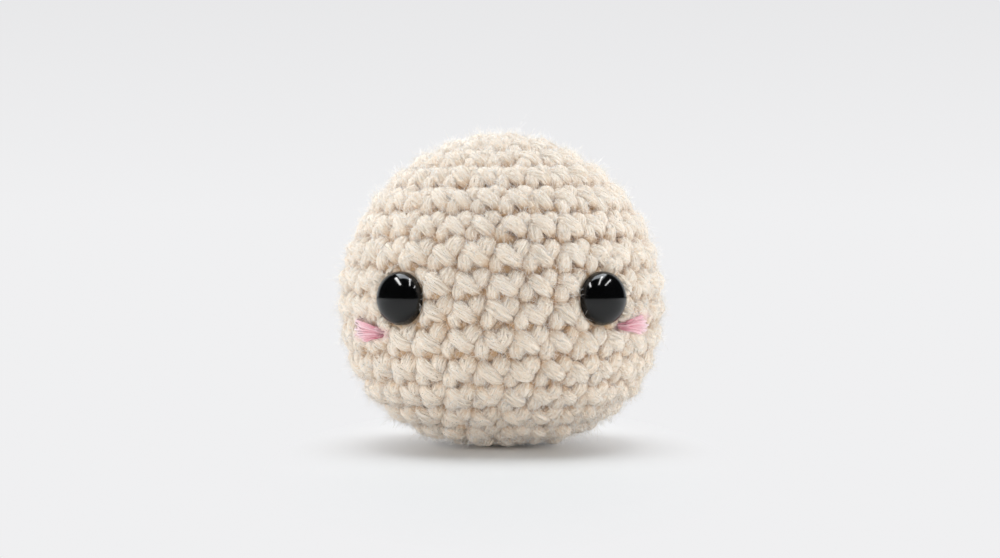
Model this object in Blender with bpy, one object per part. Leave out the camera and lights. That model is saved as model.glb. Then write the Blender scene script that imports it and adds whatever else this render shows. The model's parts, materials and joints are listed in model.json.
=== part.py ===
"""A small crocheted doll: a stuffed ball with two safety eyes and two embroidered cheeks.

Metres, +Z up. The origin is at the bottom centre, on the surface that the doll stands on. The
face looks along -Y, and left and right are as seen by someone who looks at the face.
"""

import math

import bmesh
import bpy
import numpy as np
from mathutils import Matrix, Vector

# The ball, measured over the crests of its stitches
BALL_WIDTH = 0.0500
BALL_HEIGHT = 0.0477
WIDEST_HEIGHT = 0.0218  # of the widest round above the base
LOWER_EXPONENT = 2.5  # of the curve below the widest round: 2 is an ellipse, more is fuller
SKIN_WALL = 0.0036  # one layer of crochet, from its crests to its inside
BASE_CUT = 0.0005  # taken off the base, so that the doll stands flat

# The crochet
ROUND_HEIGHT = 0.0049  # of one round of stitches, along the skin
STITCH_WIDTH = 0.0052
STITCHES_PER_SPOKE = 6  # in the first round, and gained or lost by each round after it
RELIEF_DEPTH = 0.0011  # from the crest of a round to the groove between two rounds
RELIEF_FADE_HEIGHT = 0.0040  # above this the stitches stand out in full
PRESSED_RELIEF_SHARE = 0.3  # of the relief, left in the base under the doll's weight
COLUMN_LEAN_SHARE = 0.15  # of a stitch that each round lies behind the one above it

# Where the three rings of points of a round lie, from its upper groove down, and how deep their
# points are round one stitch. The second ring is the joined top of the stitch. The third has its
# two legs, with a hole between them and a gap before the next stitch.
ROUND_RING_SHARES = (0.0, 0.32, 0.7)
STITCH_DEPTH_SHARES = ((1.0, 0.9), (0.5, 0.15, 0.0, 0.15), (0.5, 0.0, 0.4, 0.05))

# The safety eyes, with their ribbed posts and push-on washers
EYE_WIDTH = 0.0080
EYE_DOME_HEIGHT = 0.0033
EYE_EDGE = 0.0004  # the upright rim between the dome and the flat back
EYE_HEIGHT = 0.0230  # of the post's axis above the base
EYE_ANGLE = math.radians(38)  # round the ball, from the middle of the face
EYE_SINK = 0.0012  # of the eye's flat back below the crests
DIMPLE_FLARE = 0.0005  # that the dimple is wider at the crests than at the eye's back
POST_WIDTH = 0.0028
POST_LENGTH = 0.0115
RIB_WIDTH = 0.0034
RIB_PITCH = 0.0011
TIP_LENGTH = 0.0016
TIP_WIDTH = 0.0018
WASHER_WIDTH = 0.0090
WASHER_THICKNESS = 0.0009
COLLAR_WIDTH = 0.0062
COLLAR_HEIGHT = 0.0007
SLOT_WIDTH = 0.0005
SLOT_REACH = 0.0006  # of a slot into the washer, past its bore
TONGUES = 6

# The cheeks, fans of floss held by one thread that runs through the skin and back
CHEEK_DROP = 0.0051  # of the fan's tip below the eye's axis
CHEEK_ANGLE = math.radians(44)  # of the tip round the ball, from the middle of the face
CHEEK_LENGTH = 0.0078
CHEEK_TIP_WIDTH = 0.0013
CHEEK_END_WIDTH = 0.0031
CHEEK_RISE = 0.0004  # of the fan's outer end above its tip
CHEEK_SINK = 0.0005  # of the fan's underside below the crests
CHEEK_THICKNESS = 0.0010
STRANDS = 5
STRAND_GROOVE_SHARE = 0.45  # of the thickness, lost between two strands
FAN_END_SHARE = 0.5  # of the thickness, left at the tip and the end
LEG_PLACE_SHARES = (0.1, 0.9)  # of the thread's two legs, from the tip to the end
LEG_HOLD_SHARE = 0.2  # of the thickness that a leg reaches up into the fan
THREAD_WIDTH = 0.0010
KNOT_WIDTH = 0.0022

SEAT_GAP = 0.0003  # between two pieces that touch
CUT_OVERRUN = 0.0030  # of a cutter past what it cuts

OUTLINE_POINTS = 721
BALL_SEGMENTS = 30
BALL_RINGS = 15
ROUND_SEGMENTS = 28
DOME_POINTS = 9
FAN_STEPS = 6
STRIPS_PER_STRAND = 4
BED_STRIPS = 4
THREAD_POINTS = 19
THREAD_CORNER_EXPONENT = 5  # of the rounded U that the thread follows: more is squarer
THREAD_SIDES = 8
KNOT_STEPS = 2
WELD_DISTANCE = 0.000001


def surface_finish(name, colour, roughness):
    material = bpy.data.materials.new(name)
    material.use_nodes = True
    shader = material.node_tree.nodes["Principled BSDF"]
    shader.inputs["Base Color"].default_value = (*colour, 1.0)
    shader.inputs["Roughness"].default_value = roughness
    shader.inputs["Metallic"].default_value = 0.0
    material.diffuse_color = (*colour, 1.0)
    return material


def object_from(name, shape, parent=None):
    """Puts a bmesh into a new object and frees it."""
    bmesh.ops.remove_doubles(shape, verts=shape.verts, dist=WELD_DISTANCE)
    bmesh.ops.recalc_face_normals(shape, faces=shape.faces)
    mesh = bpy.data.meshes.new(name)
    shape.to_mesh(mesh)
    shape.free()
    item = bpy.data.objects.new(name, mesh)
    bpy.context.collection.objects.link(item)
    item.parent = parent
    return item


def finish(item, material):
    item.data.materials.append(material)
    item.data.shade_smooth()
    item.data.set_sharp_from_angle(angle=math.radians(40))


def helper(item):
    """Marks an object that only shapes others."""
    item.hide_render = True
    item.display_type = "WIRE"
    return item


def shape_with(item, operation, tools):
    for tool in tools:
        boolean = item.modifiers.new(tool.name, "BOOLEAN")
        boolean.operation = operation
        boolean.solver = "EXACT"
        boolean.object = tool


def turned(name, profile, parent, ring=False):
    """Turns (radius, height) points round the local Z axis. With ring, the last point joins the first."""
    shape = bmesh.new()
    corners = [shape.verts.new((radius, 0.0, height)) for radius, height in profile]
    following = corners[1:] + corners[:1] if ring else corners[1:]
    edges = [shape.edges.new(pair) for pair in zip(corners, following)]
    bmesh.ops.spin(
        shape,
        geom=corners + edges,
        cent=(0.0, 0.0, 0.0),
        axis=(0.0, 0.0, 1.0),
        angle=math.tau,
        steps=ROUND_SEGMENTS,
        use_merge=True,
    )
    return object_from(name, shape, parent)


def ball_outline(inset):
    """The radii and heights of the ball's profile, from its top to its bottom, moved in by inset.

    Above the widest round it is a quarter of an ellipse, and below it a fuller superellipse.
    """
    turn = np.linspace(0.0, math.pi, OUTLINE_POINTS)
    above = turn <= math.pi / 2
    power = np.where(above, 1.0, 2.0 / LOWER_EXPONENT)
    reach = np.where(above, BALL_HEIGHT - WIDEST_HEIGHT - inset, inset - WIDEST_HEIGHT - BASE_CUT)
    radii = (BALL_WIDTH / 2 - inset) * np.clip(np.sin(turn), 0.0, 1.0) ** power
    heights = WIDEST_HEIGHT + reach * np.abs(np.cos(turn)) ** power
    return radii, heights


def ball_radius(height, inset=0.0):
    radii, heights = ball_outline(inset)
    return float(np.interp(height, heights[::-1], radii[::-1]))


def way_along(radii, heights):
    """The length of the profile up to each of its points."""
    return np.concatenate([[0.0], np.cumsum(np.hypot(np.diff(radii), np.diff(heights)))])


def add_ring(shape, points):
    ring = [shape.verts.new(point) for point in points]
    for pair in zip(ring, ring[1:] + ring[:1]):
        shape.edges.new(pair)
    return ring


def edges_of(ring):
    members = set(ring)
    touching = {edge for point in ring for edge in point.link_edges}
    return [edge for edge in touching if set(edge.verts) <= members]


def join_rings(shape, rings, top, bottom):
    """Bridges each ring to the next, and closes both ends with a fan to a point on the axis."""
    ends = [(edges_of(ring), height) for ring, height in ((rings[0], top), (rings[-1], bottom))]
    for upper, lower in zip(rings, rings[1:]):
        bmesh.ops.bridge_loops(shape, edges=edges_of(upper) + edges_of(lower))
    for edges, height in ends:
        tip = shape.verts.new((0.0, 0.0, height))
        for edge in edges:
            shape.faces.new((*edge.verts, tip))


def plain_ball(name, inset):
    """The ball without its stitches."""
    radii, heights = ball_outline(inset)
    along = way_along(radii, heights)
    turn = math.tau * np.arange(BALL_SEGMENTS) / BALL_SEGMENTS
    shape = bmesh.new()
    rings = []
    for place in np.linspace(0.0, along[-1], BALL_RINGS + 1)[1:-1]:
        radius = np.interp(place, along, radii)
        level = np.full(BALL_SEGMENTS, np.interp(place, along, heights))
        rings.append(add_ring(shape, np.column_stack([radius * np.cos(turn), radius * np.sin(turn), level])))
    join_rings(shape, rings, heights[0], heights[-1])
    return object_from(name, shape)


def stitch_counts(rounds):
    """Stitches in each round: one more for each spoke up to the widest, and one fewer down to the last."""
    widest = round(math.pi * BALL_WIDTH / STITCH_WIDTH / STITCHES_PER_SPOKE)
    steps = [min(number + 1, widest, rounds - number) for number in range(rounds)]
    return [STITCHES_PER_SPOKE * step for step in steps]


def relief_at(height):
    """The depth of the grooves at a height: the full depth, but less in the pressed base."""
    clear = min(max(height / RELIEF_FADE_HEIGHT, 0.0), 1.0)
    return RELIEF_DEPTH * (PRESSED_RELIEF_SHARE + (1 - PRESSED_RELIEF_SHARE) * clear)


def crocheted_ball(name):
    """The ball in rounds of single crochet, each of three rings of points set back from the profile."""
    radii, heights = ball_outline(0.0)
    along = way_along(radii, heights)
    outwards = np.gradient(-heights, along)
    upwards = np.gradient(radii, along)
    rounds = round(along[-1] / ROUND_HEIGHT)
    shape = bmesh.new()
    rings = []
    for number, stitches in enumerate(stitch_counts(rounds)):
        for ring_share, depth_shares in zip(ROUND_RING_SHARES, STITCH_DEPTH_SHARES):
            place = along[-1] * (number + ring_share) / rounds
            radius, height, out, up = (
                np.interp(place, along, values) for values in (radii, heights, outwards, upwards)
            )
            if place == 0.0:
                continue
            depth = relief_at(height) * np.tile(depth_shares, stitches)
            turn = math.tau * (COLUMN_LEAN_SHARE * number / stitches + np.arange(len(depth)) / len(depth))
            reach = radius - depth * out
            points = np.column_stack([reach * np.cos(turn), reach * np.sin(turn), height - depth * up])
            rings.append(add_ring(shape, points))
    join_rings(shape, rings, heights[0] - RELIEF_DEPTH, heights[-1] + RELIEF_DEPTH)
    return object_from(name, shape)


def eye_axis(name, side):
    """An empty at the middle of the eye's back. Its Z axis runs outwards along the post."""
    outwards = Vector((side * math.sin(EYE_ANGLE), -math.cos(EYE_ANGLE), 0.0))
    axis = bpy.data.objects.new(name, None)
    axis.empty_display_size = EYE_WIDTH
    axis.location = outwards * (ball_radius(EYE_HEIGHT) - EYE_SINK) + Vector((0.0, 0.0, EYE_HEIGHT))
    axis.rotation_euler = outwards.to_track_quat("Z", "Y").to_euler()
    bpy.context.collection.objects.link(axis)
    return axis


def washer_depth():
    """From the eye's back to the washer's face, where the washer's rim meets the inside of the skin."""
    rim = WASHER_WIDTH / 2
    inside = [ball_radius(EYE_HEIGHT + step, SKIN_WALL) - SEAT_GAP for step in (-rim, 0.0, rim)]
    face = min(inside[0], inside[2], math.sqrt(inside[1] ** 2 - rim**2))
    return ball_radius(EYE_HEIGHT) - EYE_SINK - face


def eye_profile():
    """Dome, rim, flat back, and a post whose ribs let the washer on but not off."""
    profile = []
    for turn in np.linspace(0.0, math.pi / 2, DOME_POINTS):
        rise = EYE_EDGE + (EYE_DOME_HEIGHT - EYE_EDGE) * math.cos(turn)
        profile.append((EYE_WIDTH / 2 * math.sin(turn), rise))
    profile += [(EYE_WIDTH / 2, 0.0), (POST_WIDTH / 2, 0.0)]
    first_rib = -washer_depth()
    tip_start = TIP_LENGTH - POST_LENGTH
    for number in range(int((first_rib - tip_start) / RIB_PITCH)):
        level = first_rib - number * RIB_PITCH
        profile += [(POST_WIDTH / 2, level), (RIB_WIDTH / 2, level)]
    profile += [(POST_WIDTH / 2, tip_start), (TIP_WIDTH / 2, -POST_LENGTH), (0.0, -POST_LENGTH)]
    return profile


def washer_levels():
    """The heights of a washer's face, underside and collar end on the eye's axis."""
    face = -washer_depth()
    return face, face - WASHER_THICKNESS, face - WASHER_THICKNESS - COLLAR_HEIGHT


def eye_washer(name, axis):
    """A disc with a collar. Slots from its bore leave tongues that grip the post."""
    bore = RIB_WIDTH / 2 + SEAT_GAP
    face, underside, collar_end = washer_levels()
    disc = [(bore, face), (WASHER_WIDTH / 2, face), (WASHER_WIDTH / 2, underside)]
    collar = [(COLLAR_WIDTH / 2, underside), (COLLAR_WIDTH / 2, collar_end), (bore, collar_end)]
    washer = turned(name, disc + collar, axis, ring=True)
    slots = bmesh.new()
    length = bore / 2 + SLOT_REACH
    middle = Vector((bore + SLOT_REACH - length / 2, 0.0, (face + collar_end) / 2))
    for number in range(TONGUES):
        slot = bmesh.ops.create_cube(slots, size=1.0)["verts"]
        bmesh.ops.scale(slots, verts=slot, vec=(length, SLOT_WIDTH, face - collar_end + 2 * CUT_OVERRUN))
        bmesh.ops.translate(slots, verts=slot, vec=middle)
        turn = Matrix.Rotation(math.tau * number / TONGUES, 3, "Z")
        bmesh.ops.rotate(slots, verts=slot, cent=(0.0, 0.0, 0.0), matrix=turn)
    shape_with(washer, "DIFFERENCE", [helper(object_from(f"{name}_slots", slots, axis))])
    return washer


def eye_dimple(name, axis):
    """Cuts the skin for one eye: its flared seat, and the hole for its post."""
    hole = POST_WIDTH / 2 + SEAT_GAP
    seat = EYE_WIDTH / 2 + SEAT_GAP
    outside = EYE_SINK + CUT_OVERRUN
    mouth = seat + DIMPLE_FLARE * (outside + SEAT_GAP) / (EYE_SINK + SEAT_GAP)
    inside = -washer_depth() - CUT_OVERRUN
    profile = [(0.0, outside), (mouth, outside), (seat, -SEAT_GAP), (hole, -SEAT_GAP), (hole, inside)]
    return helper(turned(name, profile + [(0.0, inside)], axis))


def washer_pocket(name, axis):
    """Cuts the stuffing for one washer and the end of its post."""
    wide = WASHER_WIDTH / 2 + SEAT_GAP
    narrow = RIB_WIDTH / 2 + SEAT_GAP
    floor = washer_levels()[2] - SEAT_GAP
    end = -POST_LENGTH - SEAT_GAP
    profile = [(0.0, CUT_OVERRUN), (wide, CUT_OVERRUN), (wide, floor), (narrow, floor), (narrow, end)]
    return helper(turned(name, profile + [(0.0, end)], axis))


def cheek_place(side, along, offset, inset):
    """A point of a cheek: along is 0 at the fan's tip and 1 at its end, offset is the distance above
    its middle line, and inset is the depth below the crests."""
    level = EYE_HEIGHT - CHEEK_DROP
    height = level + CHEEK_RISE * along + offset
    turn = CHEEK_ANGLE + CHEEK_LENGTH * along / ball_radius(level)
    radius = ball_radius(height) - inset
    return Vector((side * radius * math.sin(turn), -radius * math.cos(turn), height))


def strand_thickness(along, across):
    """The fan's thickness: a ridge for each strand, thinner towards the tip and the end."""
    ridge = abs(math.sin(math.pi * STRANDS * (across + 1) / 2))
    body = math.sin(math.pi * along)
    end_taper = FAN_END_SHARE + (1 - FAN_END_SHARE) * body
    return CHEEK_THICKNESS * end_taper * (1 - STRAND_GROOVE_SHARE * (1 - ridge))


def grid_rim(rows):
    """The points round the edge of a grid, in order."""
    sides = [row[-1] for row in rows[1:-1]], [row[0] for row in rows[-2:0:-1]]
    return rows[0] + sides[0] + rows[-1][::-1] + sides[1]


def fan(name, side, underside, topside, strips, margin=0.0):
    """A closed fan. underside and topside give its depth below the crests, and margin is added all round."""
    shape = bmesh.new()
    layers = []
    for depth in (underside, topside):
        rows = []
        for step in range(FAN_STEPS + 1):
            share = step / FAN_STEPS
            along = share + margin / CHEEK_LENGTH * (2 * share - 1)
            half = (CHEEK_TIP_WIDTH + (CHEEK_END_WIDTH - CHEEK_TIP_WIDTH) * share) / 2 + margin
            row = []
            for strip in range(strips + 1):
                across = 2 * strip / strips - 1
                row.append(shape.verts.new(cheek_place(side, along, half * across, depth(share, across))))
            rows.append(row)
        for row, following in zip(rows, rows[1:]):
            for near, far in zip(zip(row, row[1:]), zip(following, following[1:])):
                shape.faces.new((*near, *reversed(far)))
        layers.append(grid_rim(rows))
    lower, upper = layers
    for index in range(len(lower)):
        shape.faces.new((lower[index - 1], lower[index], upper[index], upper[index - 1]))
    return object_from(name, shape)


def thread_route(side):
    """A rounded U: up one leg into the fan, and down the other, joined inside the skin."""
    top = CHEEK_SINK - LEG_HOLD_SHARE * CHEEK_THICKNESS
    bottom = SKIN_WALL + 2 * SEAT_GAP + THREAD_WIDTH / 2
    first, last = LEG_PLACE_SHARES
    route = []
    for turn in np.linspace(0.0, math.pi, THREAD_POINTS):
        power = 2 / THREAD_CORNER_EXPONENT
        swing = math.copysign(abs(math.cos(turn)) ** power, -math.cos(turn))
        depth = top + (bottom - top) * abs(math.sin(turn)) ** power
        route.append(cheek_place(side, (first + last) / 2 + (last - first) / 2 * swing, 0.0, depth))
    return route


def tube(name, route, width):
    """A mesh tube with closed ends along a route."""
    curve = bpy.data.curves.new(name, "CURVE")
    curve.dimensions = "3D"
    curve.bevel_depth = width / 2
    curve.bevel_resolution = THREAD_SIDES // 2 - 2
    curve.use_fill_caps = True
    spline = curve.splines.new("POLY")
    spline.points.add(len(route) - 1)
    for point, place in zip(spline.points, route):
        point.co = (*place, 1.0)
    guide = bpy.data.objects.new(name, curve)
    bpy.context.collection.objects.link(guide)
    bpy.context.view_layer.update()
    mesh = bpy.data.meshes.new_from_object(guide.evaluated_get(bpy.context.evaluated_depsgraph_get()))
    bpy.data.objects.remove(guide, do_unlink=True)
    shape = bmesh.new()
    shape.from_mesh(mesh)
    return object_from(name, shape)


def knot(name, side, width):
    """A ball of thread against the inside of the skin, on the leg at the fan's end."""
    shape = bmesh.new()
    points = bmesh.ops.create_icosphere(shape, subdivisions=KNOT_STEPS, radius=width / 2)["verts"]
    depth = SKIN_WALL + SEAT_GAP + KNOT_WIDTH / 2
    bmesh.ops.translate(shape, verts=points, vec=cheek_place(side, LEG_PLACE_SHARES[1], 0.0, depth))
    return object_from(name, shape)


def cheek(name, side):
    """A fan of strands, with the thread and the knot that hold it."""
    floss = fan(
        name,
        side,
        lambda along, across: CHEEK_SINK,
        lambda along, across: CHEEK_SINK - strand_thickness(along, across),
        STRANDS * STRIPS_PER_STRAND,
    )
    thread = helper(tube(f"{name}_thread", thread_route(side), THREAD_WIDTH))
    shape_with(floss, "UNION", [thread, helper(knot(f"{name}_knot", side, KNOT_WIDTH))])
    return floss


def cheek_bed(name, side):
    """Cuts the skin under and round a fan."""
    return helper(
        fan(
            name,
            side,
            lambda along, across: CHEEK_SINK + SEAT_GAP,
            lambda along, across: -CUT_OVERRUN,
            BED_STRIPS,
            SEAT_GAP,
        )
    )


def base_cutter():
    shape = bmesh.new()
    block = bmesh.ops.create_cube(shape, size=1.0)["verts"]
    bmesh.ops.scale(shape, verts=block, vec=(BALL_WIDTH, BALL_WIDTH, CUT_OVERRUN))
    bmesh.ops.translate(shape, verts=block, vec=(0.0, 0.0, -CUT_OVERRUN / 2))
    return helper(object_from("base_cut", shape))


for item in list(bpy.data.objects):
    bpy.data.objects.remove(item, do_unlink=True)

yarn = surface_finish("cream_yarn", (0.80, 0.68, 0.57), 0.9)
fill = surface_finish("white_fill", (0.86, 0.86, 0.84), 0.95)
black = surface_finish("black_plastic", (0.004, 0.004, 0.005), 0.06)
clear = surface_finish("pale_plastic", (0.72, 0.72, 0.70), 0.35)
pink = surface_finish("pink_floss", (0.78, 0.30, 0.42), 0.55)

crochet_body = crocheted_ball("crochet_body")
stuffing = plain_ball("stuffing", SKIN_WALL + SEAT_GAP)
shape_with(crochet_body, "DIFFERENCE", [helper(plain_ball("hollow", SKIN_WALL)), base_cutter()])

for label, side in (("left", -1), ("right", 1)):
    axis = eye_axis(f"{label}_eye_axis", side)
    finish(turned(f"{label}_eye", eye_profile(), axis), black)
    finish(eye_washer(f"{label}_eye_washer", axis), clear)
    finish(cheek(f"{label}_cheek", side), pink)
    threadway = helper(tube(f"{label}_threadway", thread_route(side), THREAD_WIDTH + 2 * SEAT_GAP))
    knot_pocket = helper(knot(f"{label}_knot_pocket", side, KNOT_WIDTH + 2 * SEAT_GAP))
    pocket = washer_pocket(f"{label}_washer_pocket", axis)
    dimple = eye_dimple(f"{label}_dimple", axis)
    shape_with(crochet_body, "DIFFERENCE", [dimple, cheek_bed(f"{label}_cheek_bed", side), threadway])
    shape_with(stuffing, "DIFFERENCE", [pocket, threadway, knot_pocket])

finish(crochet_body, yarn)
finish(stuffing, fill)
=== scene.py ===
import json
import math

import bmesh
import bpy
import numpy as np
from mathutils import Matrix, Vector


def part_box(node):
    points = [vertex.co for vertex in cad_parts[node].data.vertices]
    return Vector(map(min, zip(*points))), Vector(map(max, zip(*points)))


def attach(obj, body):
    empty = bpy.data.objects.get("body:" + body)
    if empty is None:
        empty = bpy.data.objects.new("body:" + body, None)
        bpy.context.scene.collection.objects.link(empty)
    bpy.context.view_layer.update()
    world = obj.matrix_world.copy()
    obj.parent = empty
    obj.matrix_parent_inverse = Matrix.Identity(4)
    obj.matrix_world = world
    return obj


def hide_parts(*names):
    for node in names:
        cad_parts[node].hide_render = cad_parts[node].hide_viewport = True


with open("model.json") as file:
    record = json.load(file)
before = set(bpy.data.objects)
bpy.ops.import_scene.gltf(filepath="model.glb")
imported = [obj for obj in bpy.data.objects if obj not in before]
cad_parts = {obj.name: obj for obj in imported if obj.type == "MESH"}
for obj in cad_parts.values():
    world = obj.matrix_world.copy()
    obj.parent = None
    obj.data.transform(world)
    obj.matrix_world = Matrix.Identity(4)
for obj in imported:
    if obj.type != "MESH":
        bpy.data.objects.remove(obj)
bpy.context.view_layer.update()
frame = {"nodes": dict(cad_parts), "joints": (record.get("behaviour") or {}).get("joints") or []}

# Metres, +Z up. The face looks along -Y, and left and right are as the camera sees them.
mm = 0.001
rng = np.random.default_rng(11)

ball = {
    "widestHeight": 21.8 * mm,
    "lowerExponent": 2.25,  # of the curve below the widest round, where 2 is an ellipse
    "baseCut": 0.5 * mm,
    "baseRoom": 0.084 * mm,  # between the floor and the yarn that is pressed flat
    "baseSoftness": 0.12 * mm,
    "tablePoints": 1441,
}


# Shapes on the ball


# The ball's profile from the top pole to the bottom pole, against the length along it: radius, height and
# the two parts of the outward normal. Above the widest round it is r = a sin t, z = b cos t, and below it
# sine and cosine are raised to the power of 2 over the exponent.
def ballTable():
    low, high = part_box("crochet_body")
    turn = np.linspace(0, math.pi, ball["tablePoints"])
    above = turn <= math.pi / 2
    power = np.where(above, 1, 2 / ball["lowerExponent"])
    reach = np.where(above, high[2] - ball["widestHeight"], -ball["widestHeight"] - ball["baseCut"])
    radius = (high[0] - low[0]) / 2 * np.clip(np.sin(turn), 0, 1) ** power
    height = ball["widestHeight"] + reach * np.abs(np.cos(turn)) ** power
    along = np.concatenate([[0], np.cumsum(np.hypot(np.diff(radius), np.diff(height)))])
    return along, radius, height, np.gradient(-height, along), np.gradient(radius, along)


profile = ballTable()
profileAngle = np.arctan2(profile[1], profile[2] - ball["widestHeight"])


# Points and outward normals on the ball: along is the length from the top, turn the angle to the right of
# the middle of the face, and out the distance outwards from the crests of the yarn.
def onBall(along, turn, out):
    radius, height, normalOut, normalUp = (np.interp(along, profile[0], column) for column in profile[1:])
    sine, cosine = np.sin(turn), np.cos(turn)
    normals = np.stack([normalOut * sine, -normalOut * cosine, normalUp], -1)
    feet = np.stack([radius * sine, -radius * cosine, height], -1)
    return feet + normals * np.asarray(out)[..., None], normals


def alongAtHeight(height):  # the length from the top to a height above the base
    return np.interp(-height, -profile[2], profile[0])


def outFromBall(points):  # the distance outwards from the crests, by the profile's table
    radius = np.hypot(points[..., 0], points[..., 1])
    along = np.interp(np.arctan2(radius, points[..., 2] - ball["widestHeight"]), profileAngle, profile[0])
    r, z, normalOut, normalUp = (np.interp(along, profile[0], column) for column in profile[1:])
    return (radius - r) * normalOut + (points[..., 2] - z) * normalUp


def unit(vectors):
    return vectors / np.maximum(np.linalg.norm(vectors, axis=-1, keepdims=True), 1e-12)


def smoothStep(low, high, value):
    share = np.clip((value - low) / (high - low), 0, 1)
    return share * share * (3 - 2 * share)


# Catmull-Rom weights: each sample of a line is a sum of its four nearest points, with the ends carried on.
def splineWeights(points, samples):
    place = np.linspace(0, points - 1, samples)
    first = np.minimum(place.astype(int), points - 2)
    x = place - first
    terms = (
        (-x + 2 * x**2 - x**3) / 2,
        (2 - 5 * x**2 + 3 * x**3) / 2,
        (x + 4 * x**2 - 3 * x**3) / 2,
        (x**3 - x**2) / 2,
    )
    weights = np.zeros((samples, points))
    for offset, term in zip((-1, 0, 1, 2), terms):
        np.add.at(weights, (np.arange(samples), np.clip(first + offset, 0, points - 1)), term)
    return weights


# The two directions square to each line: B across it and N away from the ball.
def crossFrame(centres, normals):
    forward = unit(np.gradient(centres, axis=1))
    aside = unit(np.cross(forward, normals))
    return aside, np.cross(aside, forward)


# Closed tubes from grids of rings: p + r (cos a B + f sin a N), where a starts at the side that faces the
# ball and f is the flatness. radius is one value for every point.
def tubeGrid(centres, normals, radius, flatness):
    aside, upward = crossFrame(centres, normals)
    sides = radius.shape[-1]
    around = np.linspace(-math.pi / 2, 3 * math.pi / 2, sides, endpoint=False)[None, None, :, None]
    across = np.cos(around) * aside[:, :, None] + flatness * np.sin(around) * upward[:, :, None]
    return centres[:, :, None] + radius[..., None] * across


def ringQuads(rings, sides):  # between each closed ring of points and the next
    ring, side = np.arange(rings - 1)[:, None] * sides, np.arange(sides)[None]
    after = (side + 1) % sides
    quads = np.stack([ring + side, ring + sides + side, ring + sides + after, ring + after], -1)
    return quads.reshape(-1, 4)


# Faces of closed tubes, each a grid of rings and sides: quads between the rings, and a face on each end.
def tubeFaces(tubes, rings, sides):
    side, base = np.arange(sides)[None], np.arange(tubes)[:, None] * rings * sides
    quads = (ringQuads(rings, sides).reshape(1, -1) + base).reshape(-1, 4)
    return [quads, side + base, side[:, ::-1] + (rings - 1) * sides + base]


bakeCell = {"margin": 0.06, "disc": 0.02, "discPlace": 0.025}  # as shares of a tube's cell


# Two maps of the same faces. "yarn" is in metres: round the tube, then along it, from a random start for
# each tube. "OFBake" gives each tube its own cell of a square, so that a bake has room for all of them.
def tubeMaps(tubes, rings, sides, girth, length):
    steps = np.array([[0, 0], [0, 1], [1, 1], [1, 0]])
    side, ring = np.meshgrid(np.arange(sides), np.arange(rings - 1))
    corners = (np.stack([side, ring], -1)[:, :, None] + steps) / np.array([sides, rings - 1])
    corners = np.broadcast_to(corners.reshape(1, -1, 2), (tubes, (rings - 1) * sides * 4, 2))
    start = rng.uniform(0, 1, (tubes, 1, 2))
    yarnMap = corners * np.array([girth, length]) + start
    perRow = math.ceil(math.sqrt(tubes))
    cell = np.stack([np.arange(tubes) % perRow, np.arange(tubes) // perRow], -1)[:, None] / perRow
    margin = bakeCell["margin"]
    bakeMap = cell + (margin + (1 - 2 * margin) * corners) / perRow
    turn = np.linspace(0, 2 * math.pi, sides, endpoint=False)
    disc = bakeCell["discPlace"] + bakeCell["disc"] * np.stack([np.cos(turn), np.sin(turn)], -1)
    disc = cell + disc / perRow
    ends = np.zeros((2 * tubes * sides, 2))
    yarnMap = np.concatenate([yarnMap.reshape(-1, 2), ends])
    bakeMap = np.concatenate([bakeMap.reshape(-1, 2), disc.reshape(-1, 2), disc.reshape(-1, 2)])
    return {"yarn": yarnMap, "OFBake": bakeMap}


# Puts points, faces, maps and fields, all arrays, into a new mesh object.
def meshFrom(name, points, faces, maps={}, fields={}):
    corners = np.concatenate([part.ravel() for part in faces]).astype(np.int32)
    sizes = np.concatenate([np.full(len(part), part.shape[1]) for part in faces])
    mesh = bpy.data.meshes.new(name)
    mesh.vertices.add(len(points))
    mesh.vertices.foreach_set("co", np.ascontiguousarray(points, np.float32).ravel())
    mesh.loops.add(len(corners))
    mesh.loops.foreach_set("vertex_index", corners)
    mesh.polygons.add(len(sizes))
    mesh.polygons.foreach_set("loop_start", (np.cumsum(sizes) - sizes).astype(np.int32))
    mesh.update(calc_edges=True)
    for layer, places in maps.items():
        mesh.uv_layers.new(name=layer).uv.foreach_set("vector", places.astype(np.float32).ravel())
    for field, values in fields.items():
        layer = mesh.attributes.new(field, "FLOAT", "POINT")
        layer.data.foreach_set("value", np.ascontiguousarray(values, np.float32).ravel())
    mesh.shade_smooth()
    piece = bpy.data.objects.new(name, mesh)
    bpy.context.scene.collection.objects.link(piece)
    return piece


# Places of the eyes and cheeks

eye = {
    "width": 8.0 * mm,
    "domeHeight": 3.3 * mm,
    "edge": 0.4 * mm,
    "rimRound": 0.15 * mm,
    "postWidth": 2.8 * mm,
    "postLength": 11.5 * mm,
    "ribWidth": 3.4 * mm,
    "ribPitch": 1.1 * mm,
    "firstRib": 3.2 * mm,
    "tipLength": 1.6 * mm,
    "tipWidth": 1.8 * mm,
    "postRound": 0.2 * mm,  # where the post meets the flat back
    "ribRound": 0.08 * mm,
    "tipRound": 0.1 * mm,
    "segments": 96,
    "seatGap": 0.15 * mm,  # between the dome's back and the yarn
    "holeWidth": 3.8 * mm,  # that the yarn leaves for the post
    "holeDepth": 4 * mm,
    "holeReach": 5 * mm,  # along the axis both ways, where lines of yarn pass the hole
    "holeEase": 2.2,  # times the room, within which the points beside follow
    "dimpleWidth": 9.8 * mm,  # across the hollow that the eye is drawn into
    "dimpleRise": 1.3 * mm,
    "dimpleFlat": 0.1 * mm,  # of its floor, past the dome
    "dimpleSoftness": 0.20 * mm,
    "fibreRoom": 0.4 * mm,  # that loose fibres leave beside the dome
    "fibreDepth": 0.5 * mm,
}
swivels = {joint["child"]: joint for joint in frame["joints"]}

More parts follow.
